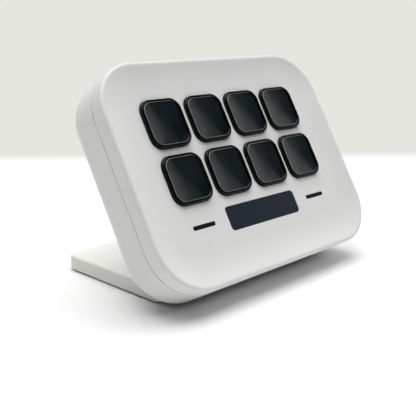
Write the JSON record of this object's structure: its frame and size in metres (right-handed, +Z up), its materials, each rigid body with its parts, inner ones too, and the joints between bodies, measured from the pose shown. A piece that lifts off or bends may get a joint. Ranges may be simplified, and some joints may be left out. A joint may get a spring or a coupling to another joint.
{
  "type": "tilted screen key pad",
  "caption": "Small white desk pad on a bent stand, with dished black square screen keys that press in, a dark information bar and touch points beside it.",
  "frame": {"origin": "middle of the rubber pad's underside, on the desk", "axes": "+X to the right across the face, +Z up, the face looks towards -Y and up"},
  "size_m": [0.107, 0.0736, 0.0774],
  "materials": {
    "shell": "fine satin texture",
    "stand_paint": "smooth satin paint",
    "soft_black": "matte",
    "silicone": "translucent matte",
    "circuit_board": "solder mask",
    "screen_glass": "polished",
    "bar_glass": "polished",
    "light_bar": "smoked satin",
    "steel": "plain",
    "chip": "matte",
    "rubber": "matte",
    "screw_steel": "zinc plated",
    "key_black": "polished",
    "key_lens": "clear, smoked"
  },
  "bodies": {
    "housing": {"front_shell": "shell", "rear_shell": "shell", "stand": "stand_paint", "cable_bush": "soft_black", "key_mat": "silicone", "switch_board": "circuit_board", "key_screen": "screen_glass", "screen_tray": "steel", "bar_window": "bar_glass", "bar_display": "screen_glass", "main_board": "circuit_board", "controller_chip": "chip", "base_weight": "steel", "rubber_pad": "rubber", "small_screws": "screw_steel", "case_screws": "screw_steel", "stand_screws": "screw_steel", "light_bar_left": "light_bar", "side_board_left": "circuit_board", "touch_pad_left": "silicone", "light_bar_right": "light_bar", "side_board_right": "circuit_board", "touch_pad_right": "silicone"},
    "key_11": {"key_cap_11": "key_black", "key_lens_11": "key_lens"},
    "key_12": {"key_cap_12": "key_black", "key_lens_12": "key_lens"},
    "key_13": {"key_cap_13": "key_black", "key_lens_13": "key_lens"},
    "key_14": {"key_cap_14": "key_black", "key_lens_14": "key_lens"},
    "key_21": {"key_cap_21": "key_black", "key_lens_21": "key_lens"},
    "key_22": {"key_cap_22": "key_black", "key_lens_22": "key_lens"},
    "key_23": {"key_cap_23": "key_black", "key_lens_23": "key_lens"},
    "key_24": {"key_cap_24": "key_black", "key_lens_24": "key_lens"}
  },
  "joints": [
    {"name": "key_slide_11", "type": "slide", "parent": "housing", "child": "key_11", "axis": [0, 0.866, -0.5], "range_m": [0, 0.001], "stiffness_N_per_m": 400, "springref_m": -0.001},
    {"name": "key_slide_12", "type": "slide", "parent": "housing", "child": "key_12", "axis": [0, 0.866, -0.5], "range_m": [0, 0.001], "stiffness_N_per_m": 400, "springref_m": -0.001},
    {"name": "key_slide_13", "type": "slide", "parent": "housing", "child": "key_13", "axis": [0, 0.866, -0.5], "range_m": [0, 0.001], "stiffness_N_per_m": 400, "springref_m": -0.001},
    {"name": "key_slide_14", "type": "slide", "parent": "housing", "child": "key_14", "axis": [0, 0.866, -0.5], "range_m": [0, 0.001], "stiffness_N_per_m": 400, "springref_m": -0.001},
    {"name": "key_slide_21", "type": "slide", "parent": "housing", "child": "key_21", "axis": [0, 0.866, -0.5], "range_m": [0, 0.001], "stiffness_N_per_m": 400, "springref_m": -0.001},
    {"name": "key_slide_22", "type": "slide", "parent": "housing", "child": "key_22", "axis": [0, 0.866, -0.5], "range_m": [0, 0.001], "stiffness_N_per_m": 400, "springref_m": -0.001},
    {"name": "key_slide_23", "type": "slide", "parent": "housing", "child": "key_23", "axis": [0, 0.866, -0.5], "range_m": [0, 0.001], "stiffness_N_per_m": 400, "springref_m": -0.001},
    {"name": "key_slide_24", "type": "slide", "parent": "housing", "child": "key_24", "axis": [0, 0.866, -0.5], "range_m": [0, 0.001], "stiffness_N_per_m": 400, "springref_m": -0.001}
  ]
}
